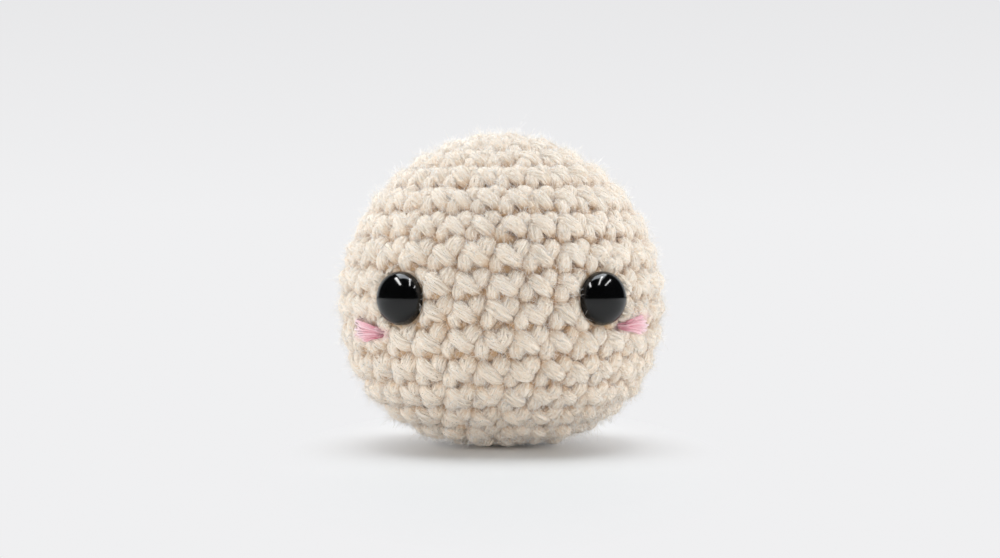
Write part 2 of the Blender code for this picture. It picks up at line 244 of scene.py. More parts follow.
cheek = {
    "level": {-1: 17.7 * mm, 1: 18.8 * mm},  # of the left and the right fan, here and below
    "angle": {-1: math.radians(45), 1: math.radians(46)},
    "length": {-1: 7.5 * mm, 1: 7.1 * mm},
    "rise": {-1: 0.4 * mm, 1: 0.3 * mm},  # of the fan's end
    "tipWidth": 0.5 * mm,
    "endWidth": 3.4 * mm,
    "filaments": 18,
    "filamentWidth": 0.32 * mm,
    "rings": 24,
    "sides": 10,
    "startShares": (-0.04, 0.14),  # of the length, between which the filaments start, and end
    "endShares": (0.72, 1.07),
    "bow": 0.12 * mm,
    "lift": 0.45 * mm,  # that a filament may lie above the crests
    "middleLift": 0.25 * mm,
    "diveShare": 0.22,  # of a filament, which goes down into the yarn
    "depth": 1.3 * mm,  # that both ends go down by
    "flatness": 0.9,
    "blushReach": 1.1 * mm,
}


# Points in an eye's own frame: its middle and axis, their heights on the axis, and the rest, sideways.
def inEyeFrame(points, joint):
    centre, axis = np.array(joint["pos_m"]), np.array(joint["axis"], float)
    height = (points - centre) @ axis
    return centre, axis, height, points - centre - height[..., None] * axis


# Draws points back from both eyes. In an eye's own frame w is the height on its axis and q the distance
# from it: w stays under a hollow that rises from the dome's back to the yarn around, by a soft minimum,
# and q stays outside the hole for the post, as the sixth root of q^6 + hole^6.
def clearOfEyes(points):
    soft, flat = eye["dimpleSoftness"], eye["width"] / 2 + eye["dimpleFlat"]
    for joint in swivels.values():
        centre, axis, height, sideways = inEyeFrame(points, joint)
        reach = np.linalg.norm(sideways, axis=-1)
        near = (height > -eye["holeDepth"]) & (reach < eye["dimpleWidth"] / 2)
        hollow = eye["dimpleRise"] * smoothStep(flat, eye["dimpleWidth"] / 2, reach)
        limit = hollow - eye["seatGap"]
        pressed = height - soft * np.logaddexp(0, np.clip((height - limit) / soft, -200, 200))
        wider = (reach**6 + (eye["holeWidth"] / 2) ** 6) ** (1 / 6)
        away = sideways * (np.where(near, wider, reach) / np.maximum(reach, 1e-7))[..., None]
        points = centre + away + np.where(near, pressed, height)[..., None] * axis
    return points


# Moves whole lines aside from the posts. Each line goes straight away from the post it passes, by what
# its nearest point lacks, and its points further off than the room follow less and less.
def linesAside(centres, room):
    for joint in swivels.values():
        height, sideways = inEyeFrame(centres, joint)[2:]
        reach = np.where(np.abs(height) < eye["holeReach"], np.linalg.norm(sideways, axis=-1), 1)
        rows, nearest = np.arange(len(centres)), np.argmin(reach, axis=1)
        direction = unit(sideways[rows, nearest])
        lack = np.clip(room - reach[rows, nearest], 0, room)
        follow = 1 - smoothStep(room, eye["holeEase"] * room, reach)
        centres = centres + direction[:, None] * (lack[:, None] * follow)[..., None]
    return centres


# Whether each point lies in, over or close beside an eye's dome.
def onEyes(points):
    inside = np.zeros(points.shape[:-1], bool)
    for joint in swivels.values():
        height, sideways = inEyeFrame(points, joint)[2:]
        reach = np.linalg.norm(sideways, axis=-1)
        inside |= (height > -eye["fibreDepth"]) & (reach < eye["width"] / 2 + eye["fibreRoom"])
    return inside


# How near each point is to a cheek, from 1 on its fan to 0 at the blush's reach.
def blushOn(points):
    near = np.zeros(points.shape[:-1])
    for side in (-1, 1):
        turn = np.arctan2(side * points[..., 0], -points[..., 1])
        radius = np.interp(alongAtHeight(cheek["level"][side]), profile[0], profile[1])
        along = (turn - cheek["angle"][side]) * radius / cheek["length"][side]
        offset = points[..., 2] - cheek["level"][side] - cheek["rise"][side] * along
        half = (cheek["tipWidth"] + (cheek["endWidth"] - cheek["tipWidth"]) * np.clip(along, 0, 1)) / 2
        past = np.maximum(np.abs(along - 0.5) - 0.5, 0) * cheek["length"][side]
        distance = np.hypot(past, np.maximum(np.abs(offset) - half * 0.6, 0))
        near = np.maximum(near, 1 - smoothStep(0, cheek["blushReach"], distance))
    return near


# The crocheted skin

crochet = {
    "rounds": 16.2,
    "widestCount": 29.85,  # stitches to a turn, a little under 30, so that the columns lean
    "perSpoke": 6,
    "start": 6.42,  # stitches to the right from the middle of the back, where the first one is
    "tilt": 1.2 * mm,  # that the rounds are lower by at the picture's right, and higher by at its left
    "drawnUp": 0.22,  # rounds that the lower half is drawn up by
    "drawnFrom": (7, 9.5),  # rounds over which that sets in, and ends
    "drawnTo": (13, 16),
    "stitchShift": (0.035, 0.028, 0.038),  # of a whole stitch at random, in the units of its lines
    "pointShift": (0.022, 0.020, 0.035),
    "yarnWidth": 2.35 * mm,
    "flatness": 0.80,  # of the yarn's depth to its width
    "holeRoom": 0.45,  # of the yarn's width, from a hole for a post to a line's middle
    "rings": 9,
    "sides": 10,
    "core": 0.985,  # of the yarn's width, under its locks
    "unevenness": 0.020,  # of the radius, from point to point
    "partUnevenness": 0.05,  # and from part to part
    "locks": 14,  # of fibres on the outer side of each part
    "lockRings": 6,
    "lockSpread": math.radians(230),
    "lockLength": (0.40, 0.75),  # of the part's own
    "lockWidth": 0.58 * mm,
    "lockFlatness": 0.42,
    "lockLift": 0.03 * mm,
    "lockUnevenness": 0.02 * mm,  # of its lift
    "lockVariety": 0.25,  # of its width
    "loopRings": 8,  # of the strands behind the stitches
    "loopSides": 12,
    "loopFlatness": 0.7,
    "loopShift": 0.6,  # of the random shifts
    "mapLength": 5 * mm,  # of a part, on its own map
    "outwards": 1.5 * mm,  # from under a part's middle to it, for the loose fibres
    "twist": 0.16,  # turns along one part
    "slant": 0.05,
    "bands": 6,
}

# The parts of one stitch: its width to the yarn's, the share of it that is left at the ends, where along it
# is fullest, and the line it follows in (stitch widths right, round heights down, yarn widths out).
stitchParts = {
    "leftLeg": ((0.99, 0.54, 0.60), [
        (0.17, 0.10, -0.95), (0.12, 0.26, -0.36), (0.06, 0.44, -0.09),
        (0.02, 0.64, -0.01), (0.01, 0.82, -0.13), (0.03, 0.96, -0.51), (0.08, 1.02, -0.96),
    ]),
    "rightLeg": ((1.08, 0.49, 0.47), [
        (0.00, 0.07, -0.95), (0.06, 0.15, -0.30), (0.17, 0.25, 0.00),
        (0.34, 0.38, 0.09), (0.51, 0.52, 0.03), (0.66, 0.66, -0.21), (0.77, 0.79, -0.92),
    ]),
    "topLoop": ((1.23, 0.54, 0.50), [
        (0.50, 0.57, -0.95), (0.57, 0.42, -0.42), (0.66, 0.25, -0.12),
        (0.74, 0.09, -0.14), (0.82, -0.04, -0.46), (0.87, -0.12, -0.99),
    ]),
}
# The same for the two strands behind each stitch, which close the skin between its parts.
backLoops = [
    ((1.20, 0.75, 0.5), [
        (-0.62, 0.90, -0.90), (-0.30, 0.85, -0.54), (0.00, 0.84, -0.46),
        (0.30, 0.83, -0.51), (0.62, 0.90, -0.90),
    ]),
    ((1.30, 0.75, 0.5), [
        (-0.60, 0.46, -0.90), (-0.30, 0.42, -0.62), (0.00, 0.40, -0.54),
        (0.30, 0.40, -0.60), (0.60, 0.42, -0.90),
    ]),
]


# Rounds worked after t turns, seen from the top: t - 1/2, eased at both ends by half a square, so that
# the first and the last round close.
def spiralShare(t):
    rounds = crochet["rounds"]
    t = np.clip(t, -1, rounds + 1)
    start = 0.5 * np.clip(t, 0, 1) ** 2
    end = rounds - 0.5 * (rounds + 1 - np.clip(t, rounds, rounds + 1)) ** 2
    return np.where(t < 1, start, np.where(t > rounds, end, t - 0.5))


# Stitches to a turn after t turns: six more each turn, up to the widest, and six fewer towards the end.
def stitchCounts(t):
    step = crochet["perSpoke"]
    growing, closing = step * (t + 0.5), step * (crochet["rounds"] + 0.5 - t)
    return np.minimum(np.minimum(growing, crochet["widestCount"]), closing)


# The turns at which the stitches stand: where the running sum of the counts passes each half.
def stitchTurns():
    t = np.linspace(0, crochet["rounds"], 4001)
    worked = np.concatenate([[0], np.cumsum(stitchCounts((t[1:] + t[:-1]) / 2) * np.diff(t))])
    return np.interp(np.arange(int(worked[-1])) + 0.5, worked, t)


# The middle lines of one part of every stitch, with the outward normals. Each stitch gets its own small
# shift, and each point of its line a smaller one. The rounds tilt by sin(angle) times the square of
# sin(pi share / rounds), which is 0 at both poles, where share is the rounds worked down to a point.
def stitchLines(line, turns, rings, loose=1.0):
    line = np.array(line)[None]
    count, points = len(turns), line.shape[1]
    line = line + loose * rng.normal(0, 1, (count, points, 3)) * np.array(crochet["pointShift"])
    line = line + loose * rng.normal(0, 1, (count, 1, 3)) * np.array(crochet["stitchShift"])
    path = np.einsum("sp,cpk->csk", splineWeights(points, rings), line)
    t = turns[:, None] - path[..., 0] / stitchCounts(turns)[:, None]
    angle = math.pi - 2 * math.pi * (t - crochet["start"] / crochet["widestCount"])
    upper, lower = spiralShare(t), spiralShare(t + 1)
    share = np.abs(upper + (lower - upper) * path[..., 1])
    drawn = smoothStep(*crochet["drawnFrom"], share) * (1 - smoothStep(*crochet["drawnTo"], share))
    share = share - crochet["drawnUp"] * drawn
    along = share * profile[0][-1] / crochet["rounds"]
    along = along + crochet["tilt"] * np.sin(angle) * np.sin(math.pi * share / crochet["rounds"]) ** 2
    out = (path[..., 2] - 0.5 * crochet["flatness"]) * crochet["yarnWidth"]
    centres, normals = onBall(along, angle, out)
    return linesAside(centres, eye["holeWidth"] / 2 + crochet["holeRoom"] * crochet["yarnWidth"]), normals


# The radius of the yarn at every point. It swells from the share at its ends to 1 where it is fullest.
def yarnRadius(count, shape, rings, sides):
    width, ends, fullest = shape
    place = np.linspace(0, 1, rings)[None, :, None]
    swell = ends + (1 - ends) * np.sin(math.pi * place ** (math.log(0.5) / math.log(fullest))) ** 0.8
    uneven = rng.normal(1, crochet["unevenness"], (count, rings, sides))
    uneven = uneven * rng.normal(1, crochet["partUnevenness"], (count, 1, 1))
    return crochet["yarnWidth"] * width / 2 * swell * uneven


# Locks of fibres that wind round each line: c + R (cos a B + f sin a N), where R is the yarn's radius less
# most of the lock's own, and a starts evenly spread over the outer side and turns with the twist. Each lock
# covers its own stretch of the line, at its own slant, and narrows to both ends.
def lockGrid(lines, normals, radius):
    count, rings = radius.shape[:2]
    locks, steps = crochet["locks"], crochet["lockRings"]
    aside, upward = crossFrame(lines, normals)
    length = rng.uniform(*crochet["lockLength"], (count, locks, 1))
    middle = (np.argsort(rng.uniform(0, 1, (count, locks)), axis=1)[..., None] + 0.5) / locks
    place = (length / 2 + (1 - length) * middle) + length * (np.linspace(0, 1, steps) - 0.5)
    at = np.clip(place * (rings - 1), 0, rings - 1.001)
    first, share = at.astype(int), (at % 1)[..., None]
    row = np.arange(count)[:, None, None]
    line, across, outward = (
        part[row, first] * (1 - share) + part[row, first + 1] * share for part in (lines, aside, upward)
    )
    reach = radius[row, first, 0] * (1 - share[..., 0]) + radius[row, first + 1, 0] * share[..., 0]
    spread = (np.arange(locks)[:, None] + rng.uniform(0.1, 0.9, (count, locks, 1))) / locks - 0.5
    slant = crochet["twist"] + rng.normal(0, crochet["slant"], (count, locks, 1))
    turn = math.pi / 2 + crochet["lockSpread"] * spread + 2 * math.pi * slant * (place - 0.5)
    narrowing = np.sin(math.pi * np.linspace(0.04, 0.96, steps)) ** 0.6
    width = crochet["lockWidth"] * rng.lognormal(0, crochet["lockVariety"], (count, locks, 1)) * narrowing
    height = width / 2 * crochet["lockFlatness"]
    lift = rng.normal(crochet["lockLift"], crochet["lockUnevenness"], (count, locks, 1))
    reach = reach - height + narrowing * lift
    direction = np.cos(turn)[..., None] * across + crochet["flatness"] * np.sin(turn)[..., None] * outward
    centres = (line + reach[..., None] * direction).reshape(-1, steps, 3)
    radii = np.broadcast_to((width / 2).reshape(-1, steps, 1), (count * locks, steps, 4))
    return tubeGrid(centres, unit(direction).reshape(-1, steps, 3), radii, crochet["lockFlatness"])


def flattenBase(points):  # the height becomes a soft maximum of itself and the room above the floor
    soft = ball["baseSoftness"]
    points[..., 2] = soft * np.logaddexp(ball["baseRoom"] / soft, np.clip(points[..., 2] / soft, -50, None))
    return points


# The normals of the locks point from a place under each part's middle, so that the loose fibres on them
# fan out and stand off the skin.
turns = stitchTurns()
middle = crochet["rings"] // 2
bandOf = np.minimum(np.arange(len(turns)) * crochet["bands"] // len(turns), crochet["bands"] - 1)
cores, locks, lockNormals = {}, {}, {}
for part, (shape, line) in stitchParts.items():
    lines, normals = stitchLines(line, turns, crochet["rings"])
    radius = yarnRadius(len(turns), shape, crochet["rings"], crochet["sides"])
    core = tubeGrid(lines, normals, crochet["core"] * radius, crochet["flatness"])
    cores[part] = flattenBase(clearOfEyes(core))
    wound = flattenBase(clearOfEyes(lockGrid(lines, normals, radius)))
    locks[part] = wound.reshape(len(turns), crochet["locks"], *wound.shape[1:])
    under = lines[:, middle] - crochet["outwards"] * normals[:, middle]
    lockNormals[part] = unit(locks[part] - under[:, None, None, None])


shade = {  # painted shade on the yarn, from 0 to 1, where crevices, gaps and holes would be shaded
    "start": -0.1 * mm,  # under the crests, where it sets in, and is full
    "end": 1.9 * mm,
    "core": 0.24,  # painted shade that is added on the cores, which show in the gaps between the locks, and on the strands behind, in the holes
    "loop": 0.50,
    "topLitStart": 36 * mm,  # above the base, where the painted shade thins out, as light from above reaches further into the yarn
    "topLitEnd": 45 * mm,
    "topLitShare": 0.45,
}


# One mesh of the cores and the locks, as grids of closed tubes. Each tube has its own tone, and the cores,
# which show between the locks, get more painted shade, as the gaps between the locks would be shaded.
def yarnPiece(name, grids, girth):
    points, maps, fields, faces, base = [], {}, {"depth": [], "tone": [], "blush": []}, [], 0
    for tubes, width, under in zip(grids, girth, (shade["core"], 0)):
        count, rings, sides = tubes.shape[:3]
        # painted shade: the depth field darkens the yarn with its distance under the crests, less near the
        # top, where more light falls, and more on the cores
        topLitFactor = 1 - shade["topLitShare"] * smoothStep(shade["topLitStart"], shade["topLitEnd"], tubes[..., 2])
        shadeUnderCrests = smoothStep(shade["start"], shade["end"], -outFromBall(tubes))
        fields["depth"].append((under + topLitFactor * shadeUnderCrests).ravel())
        fields["tone"].append(np.broadcast_to(rng.uniform(0, 1, (count, 1, 1)), tubes.shape[:3]).ravel())
        fields["blush"].append(blushOn(tubes).ravel())
        faces += [part + base for part in tubeFaces(count, rings, sides)]
        for layer, places in tubeMaps(count, rings, sides, math.pi * width, crochet["mapLength"]).items():
            maps.setdefault(layer, []).append(places)
        points.append(tubes.reshape(-1, 3))
        base += count * rings * sides
    halves = [places * [0.5, 1] + [0.5 * index, 0] for index, places in enumerate(maps["OFBake"])]
    maps = {"yarn": np.concatenate(maps["yarn"]), "OFBake": np.concatenate(halves)}
    fields = {field: np.concatenate(values) for field, values in fields.items()}
    return meshFrom(name, np.concatenate(points), faces, maps, fields)


yarnPieces = []
for band in range(crochet["bands"]):
    inBand = bandOf == band
    inner = np.concatenate([cores[part][inBand] for part in cores])
    wound = np.concatenate([locks[part][inBand].reshape(-1, *locks[part].shape[2:]) for part in locks])
    widths = (crochet["yarnWidth"], crochet["lockWidth"])
    yarnPieces.append(yarnPiece(f"crochet_rounds_{band + 1}", (inner, wound), widths))

loops, rings, sides = [], crochet["loopRings"], crochet["loopSides"]
for shape, line in backLoops:
    lines, normals = stitchLines(line, turns, rings, crochet["loopShift"])
    radius = yarnRadius(len(turns), shape, rings, sides)
    loops.append(flattenBase(clearOfEyes(tubeGrid(lines, normals, radius, crochet["loopFlatness"]))))
tubes = np.concatenate(loops)
# painted shade on the strands behind, which lie in the holes between the stitches and would be shaded
depth = np.clip(shade["loop"] + smoothStep(0, shade["end"], -outFromBall(tubes)), 0, 1)
fields = {"depth": depth, "tone": np.full(depth.shape, 0.2), "blush": blushOn(tubes)}
maps = tubeMaps(len(tubes), rings, sides, math.pi * crochet["yarnWidth"], crochet["mapLength"])
faces = tubeFaces(len(tubes), rings, sides)
yarnPieces.append(meshFrom("crochet_back_loops", tubes.reshape(-1, 3), faces, maps, fields))
print("skin:", len(turns), "stitches,", sum(len(piece.data.polygons) for piece in yarnPieces), "faces")


# The stuffing

stuffing = {
    "voxel": 0.6 * mm,
    "hollows": 0.35 * mm,
    "lumps": 2.6 * mm,
    "drawnIn": 0.03,  # the share that it is narrower by at the base, clear of the yarn
    "drawnInTo": (8 * mm, 18 * mm),  # above the base, over which that ends
}


# A remeshed copy of the stuffing's solid, whose surface is drawn in by three crossed waves, so that it is
# lumpy and stays within the solid.
def makeStuffing():
    piece = bpy.data.objects.new("fibre_stuffing", frame["nodes"]["stuffing"].data.copy())
    bpy.context.scene.collection.objects.link(piece)
    shape = bmesh.new()
    shape.from_mesh(piece.data)
    bmesh.ops.remove_doubles(shape, verts=shape.verts, dist=0.001 * mm)
    shape.to_mesh(piece.data)
    shape.free()
    remesh = piece.modifiers.new("remesh", "REMESH")
    remesh.mode, remesh.voxel_size = "VOXEL", stuffing["voxel"]
    finished = bpy.data.meshes.new_from_object(piece.evaluated_get(bpy.context.evaluated_depsgraph_get()))
    piece.modifiers.clear()
    piece.data = finished
    points, normals = np.empty((2, len(finished.vertices), 3), np.float32)
    finished.vertices.foreach_get("co", points.ravel())
    finished.vertices.foreach_get("normal", normals.ravel())
    phases = rng.uniform(0, 2 * math.pi, (3, 3))
    turned = points @ np.linalg.qr(rng.normal(0, 1, (3, 3)))[0].T * 2 * math.pi / stuffing["lumps"]
    waves = sum(np.sin(turned * scale + phase).prod(axis=1) for scale, phase in zip((1, 1.7, 2.9), phases))
    points -= normals * (stuffing["hollows"] * np.clip(0.5 + 0.4 * waves, 0, 1))[:, None]
    points[:, :2] *= 1 - stuffing["drawnIn"] * (1 - smoothStep(*stuffing["drawnInTo"], points[:, 2:]))
    finished.vertices.foreach_set("co", points.ravel())
    finished.materials.clear()
    finished.shade_smooth()
    return piece


stuffingPiece = makeStuffing()
print("stuffing:", len(stuffingPiece.data.polygons), "faces")


# Loose fibres that stand off the yarn

fuzz = {
    "crochet_fuzz_1": dict(count=24500, length=0.8 * mm, radius=0.026 * mm, lift=0.60, curl=0.6, rings=2),
    "crochet_fuzz_2": dict(count=24500, length=0.9 * mm, radius=0.027 * mm, lift=1.40, curl=0.9, rings=2),
    "crochet_fuzz_3": dict(count=14000, length=1.3 * mm, radius=0.024 * mm, lift=0.90, curl=1.8, rings=3),
    "crochet_fuzz_4": dict(count=14000, length=0.9 * mm, radius=0.021 * mm, lift=1.60, curl=1.2, rings=3),
}
fuzzRoot = {"depth": 1.2 * mm, "floorRoom": 0.02 * mm, "sides": 3}  # depth under the crests


# Fibres from random points of the yarn: p + s d + s^2 c, where d leans from the yarn's side towards its
# normal by the lift, and c bends it. Each is a thin tube of a few faces that narrows to its end.
def fibreGrid(feet, normals, kind):
    count, rings, sides = len(feet), kind["rings"], fuzzRoot["sides"]
    along = unit(np.cross(normals, unit(rng.normal(0, 1, (count, 3)))))
    direction = unit(along + kind["lift"] * normals * rng.uniform(0.2, 1.8, (count, 1)))
    bend = unit(rng.normal(0, 1, (count, 3)) - 0.4 * normals) * kind["curl"] * rng.uniform(0.2, 1, (count, 1))
    s = np.linspace(0, 1, rings)[None, :, None]
    length = kind["length"] * rng.lognormal(0, 0.35, (count, 1, 1))
    centres = feet[:, None] + length * (s * direction[:, None] + 0.4 * s**2 * bend[:, None])
    radius = kind["radius"] * (1 - 0.6 * np.broadcast_to(s, (count, rings, sides)))
    return tubeGrid(centres, np.broadcast_to(normals[:, None], centres.shape), radius, 1)


feet = np.concatenate([locks[part].reshape(-1, 3) for part in locks])
footNormals = np.concatenate([lockNormals[part].reshape(-1, 3) for part in locks])
outer = outFromBall(feet) > -fuzzRoot["depth"]
feet, footNormals = feet[outer], footNormals[outer]
fuzzPieces = []
for name, kind in fuzz.items():
    chosen = rng.integers(0, len(feet), kind["count"])
    fibres = fibreGrid(feet[chosen], footNormals[chosen], kind)
    onFloor = (fibres[..., 2] <= fuzzRoot["floorRoom"]).any(axis=(1, 2))
    fibres = fibres[~onFloor & ~onEyes(fibres).any(axis=(1, 2))]
    faces = tubeFaces(len(fibres), kind["rings"], fuzzRoot["sides"])
    girth = 2 * math.pi * kind["radius"]
    maps = tubeMaps(len(fibres), kind["rings"], fuzzRoot["sides"], girth, kind["length"])
    fuzzPieces.append(meshFrom(name, fibres.reshape(-1, 3), faces, maps, {"blush": blushOn(fibres)}))
print("fuzz:", sum(len(piece.data.polygons) for piece in fuzzPieces), "faces")


# Safety eyes


# Dome, rounded rim, flat back, and a post whose ribs let the washer on but not off, as (radius, level).
def eyeProfile():
    turn = np.linspace(0, math.pi / 2, 25)
    rise = eye["edge"] + (eye["domeHeight"] - eye["edge"]) * np.cos(turn)
    dome = np.stack([eye["width"] / 2 * np.sin(turn), rise], -1)
    turn = np.linspace(0, math.pi / 2, 5)
    rim = np.stack([np.cos(turn) - 1, 1 - np.sin(turn)], -1) * eye["rimRound"] + [eye["width"] / 2, 0]
    post, rib = eye["postWidth"] / 2, eye["ribWidth"] / 2
    points = [(post + eye["postRound"], 0), (post, -eye["postRound"])]
    tipStart = eye["tipLength"] - eye["postLength"]
    for level in np.arange(-eye["firstRib"], tipStart + eye["ribPitch"], -eye["ribPitch"]):
        points += [(post, level), (rib - eye["ribRound"], level), (rib, level - eye["ribRound"])]
    tip, end = eye["tipWidth"] / 2, -eye["postLength"]
    points += [(post, tipStart), (tip + eye["tipRound"], end + eye["tipRound"]), (tip, end), (0, end)]
    return np.concatenate([dome, rim, points])


# A surface of revolution: every profile point turned round the axis. Its first and last points are poles.
def lathe(name, shape, centre, axis, segments):
    turn = np.linspace(0, 2 * math.pi, segments, endpoint=False)
    aside = unit(np.cross([0, 0, 1.0], axis))
    upward = np.cross(axis, aside)
    spokes = np.cos(turn)[:, None] * aside + np.sin(turn)[:, None] * upward
    rings = centre + shape[1:-1, :1, None] * spokes + shape[1:-1, 1:, None] * axis
    poles = centre + shape[[0, -1], 1][:, None] * axis
    count, side = len(rings), np.arange(segments)
    after, last = (side + 1) % segments, (count - 1) * segments
    top = np.stack([np.full(segments, count * segments), side, after], -1)
    bottom = np.stack([np.full(segments, count * segments + 1), last + after, last + side], -1)
    points = np.concatenate([rings.reshape(-1, 3), poles])
    return meshFrom(name, points, [ringQuads(count, segments), top, bottom])


eyePieces = {}
for side in ("left", "right"):
    joint = swivels[f"{side}_eye_body"]
    centre, axis = np.array(joint["pos_m"]), np.array(joint["axis"], float)
    eyePieces[side] = lathe(f"{side}_safety_eye", eyeProfile(), centre, axis, eye["segments"])
print("eyes:", len(eyePieces))


# Embroidered cheeks


# The filaments of one fan, from its tip beside the eye to its wide end: each crosses the skin on a slightly
# bowed line, rests on the yarn's crests, and goes down into the skin at both ends.
def cheekGrid(side):
    count, rings, sides = cheek["filaments"], cheek["rings"], cheek["sides"]
    across = rng.permutation(np.linspace(-1, 1, count))[:, None] + rng.normal(0, 0.04, (count, 1))
    place = np.linspace(0, 1, rings)[None]
    starts = rng.uniform(*cheek["startShares"], (count, 1))
    ends = rng.uniform(*cheek["endShares"], (count, 1)) - 0.08 * across**2
    along = starts + (ends - starts) * place
    half = cheek["tipWidth"] / 2 + (cheek["endWidth"] - cheek["tipWidth"]) / 2 * np.clip(along, 0, 1.1) ** 0.6
    offset = across * half + cheek["bow"] * np.sin(math.pi * place * rng.uniform(0.8, 2.2, (count, 1)))
    height = cheek["level"][side] + cheek["rise"][side] * along + offset
    radius = np.interp(alongAtHeight(cheek["level"][side]), profile[0], profile[1])
    turn = side * (cheek["angle"][side] + cheek["length"][side] * along / radius)
    dive = np.clip(np.abs(2 * place - 1) - 1 + cheek["diveShare"], 0, 1) / cheek["diveShare"]
    lift = rng.uniform(0, cheek["lift"], (count, 1)) + cheek["middleLift"] * np.sin(math.pi * place)
    out = lift - (cheek["depth"] + lift) * dive**1.6
    centres, normals = onBall(alongAtHeight(height), turn, out)
    width = cheek["filamentWidth"] * rng.normal(1, 0.08, (count, 1, 1))
    radii = width / 2 * (1 - 0.25 * dive[..., None] ** 2) * rng.normal(1, 0.02, (count, rings, sides))
    tone = np.broadcast_to(rng.uniform(0, 1, (count, 1)), along.shape)
    return tubeGrid(centres, normals, radii, cheek["flatness"]), along, tone


cheekPieces = {}
for side, sign in (("left", -1), ("right", 1)):
    tubes, along, tone = cheekGrid(sign)
    fields = {"along": np.repeat(along, cheek["sides"]), "tone": np.repeat(tone, cheek["sides"])}
    girth = math.pi * cheek["filamentWidth"]
    maps = tubeMaps(len(tubes), cheek["rings"], cheek["sides"], girth, cheek["length"][sign])
    faces = tubeFaces(len(tubes), cheek["rings"], cheek["sides"])
    cheekPieces[side] = meshFrom(f"{side}_cheek_floss", tubes.reshape(-1, 3), faces, maps, fields)
print("cheeks:", len(cheekPieces))


# Materials


def newMaterial(name):
    material = bpy.data.materials.new(name)
    material.use_nodes = True
    return material, material.node_tree.nodes["Principled BSDF"]


def addNode(tree, kind, **values):  # a node with its properties set, and its inputs by name or number
    node = tree.nodes.new(kind)
    for key, value in values.items():
        if key.startswith("in_"):
            socket = int(key[3:]) if key[3:].isdigit() else key[3:].replace("_", " ")
            node.inputs[socket].default_value = value
        else:
            setattr(node, key, value)
    return node


# Spun fibres along a thread: two noises on the thread's own map, one for single fibres and one for
# bundles, both stretched along the thread and slanted by the twist.
def makeFibreGroup():
    group = bpy.data.node_groups.new("fibreGrain", "ShaderNodeTree")
    for name, value in (("Fibre Width", 0.1 * mm), ("Fibre Length", 1.5 * mm), ("Twist", 0.25)):
        group.interface.new_socket(name, in_out="INPUT", socket_type="NodeSocketFloat").default_value = value
    group.interface.new_socket("Vector", in_out="INPUT", socket_type="NodeSocketVector")
    for name in ("Fibres", "Bundles", "Height"):
        group.interface.new_socket(name, in_out="OUTPUT", socket_type="NodeSocketFloat")
    inputs, outputs = addNode(group, "NodeGroupInput"), addNode(group, "NodeGroupOutput")
    split = addNode(group, "ShaderNodeSeparateXYZ")
    slant = addNode(group, "ShaderNodeMath", operation="MULTIPLY_ADD")
    around = addNode(group, "ShaderNodeMath", operation="DIVIDE")
    along = addNode(group, "ShaderNodeMath", operation="DIVIDE")
    place = addNode(group, "ShaderNodeCombineXYZ")
    fine = addNode(group, "ShaderNodeTexNoise", in_Scale=1.0, in_Detail=2.0, in_Distortion=0.2)
    fine.inputs["Roughness"].default_value = 0.65
    broad = addNode(group, "ShaderNodeTexNoise", in_Scale=0.42, in_Detail=1.0, in_Distortion=0.4)
    height = addNode(group, "ShaderNodeMath", operation="MULTIPLY_ADD", in_1=0.6)
    share = addNode(group, "ShaderNodeMath", operation="MULTIPLY", in_1=1.1)
    for start, output, end, socket in (
        (inputs, "Vector", split, 0),
        (split, "Y", slant, 0),
        (inputs, "Twist", slant, 1),
        (split, "X", slant, 2),
        (slant, 0, around, 0),
        (inputs, "Fibre Width", around, 1),
        (split, "Y", along, 0),
        (inputs, "Fibre Length", along, 1),
        (around, 0, place, "X"),
        (along, 0, place, "Y"),
        (place, 0, fine, "Vector"),
        (place, 0, broad, "Vector"),
        (fine, "Fac", height, 0),
        (broad, "Fac", share, 0),
        (share, 0, height, 2),
        (fine, "Fac", outputs, "Fibres"),
        (broad, "Fac", outputs, "Bundles"),
        (height, 0, outputs, "Height"),
    ):
        group.links.new(start.outputs[output], end.inputs[socket])
    return group


fibreGroup = makeFibreGroup()


def addFibres(tree, look):  # the group, placed on the piece's yarn map
    grain = addNode(tree, "ShaderNodeGroup", node_tree=fibreGroup)
    grain.inputs["Fibre Width"].default_value = look["fibreWidth"]
    grain.inputs["Fibre Length"].default_value = look["fibreLength"]
    grain.inputs["Twist"].default_value = look["fibreTwist"]
    tree.links.new(addNode(tree, "ShaderNodeUVMap", uv_map="yarn").outputs[0], grain.inputs["Vector"])
    return grain


def mixColours(tree, factor, first, second):  # each is a socket or a plain value
    mix = addNode(tree, "ShaderNodeMix", data_type="RGBA")
    for index, value in ((0, factor), (6, first), (7, second)):
        if isinstance(value, bpy.types.NodeSocket):
            tree.links.new(value, mix.inputs[index])
        else:
            mix.inputs[index].default_value = value
    return mix.outputs[2]


def rangeOf(tree, value, low, high, toLow=0.0, toHigh=1.0):
    node = addNode(tree, "ShaderNodeMapRange")
    tree.links.new(value, node.inputs["Value"])
    for name, number in (("From Min", low), ("From Max", high), ("To Min", toLow), ("To Max", toHigh)):
        node.inputs[name].default_value = number
    return node.outputs[0]


def fieldOf(tree, name):
    return addNode(tree, "ShaderNodeAttribute", attribute_name=name).outputs["Fac"]


def addNoise(tree, **values):  # a noise on the piece's Object coordinates
    noise = addNode(tree, "ShaderNodeTexNoise", **values)
    tree.links.new(addNode(tree, "ShaderNodeTexCoord").outputs["Object"], noise.inputs["Vector"])
    return noise.outputs["Fac"]


def addBump(tree, height, shader, strength, depth):
    bump = addNode(tree, "ShaderNodeBump", in_Strength=strength, in_Distance=depth)
    tree.links.new(height, bump.inputs["Height"])
    tree.links.new(bump.outputs[0], shader.inputs["Normal"])


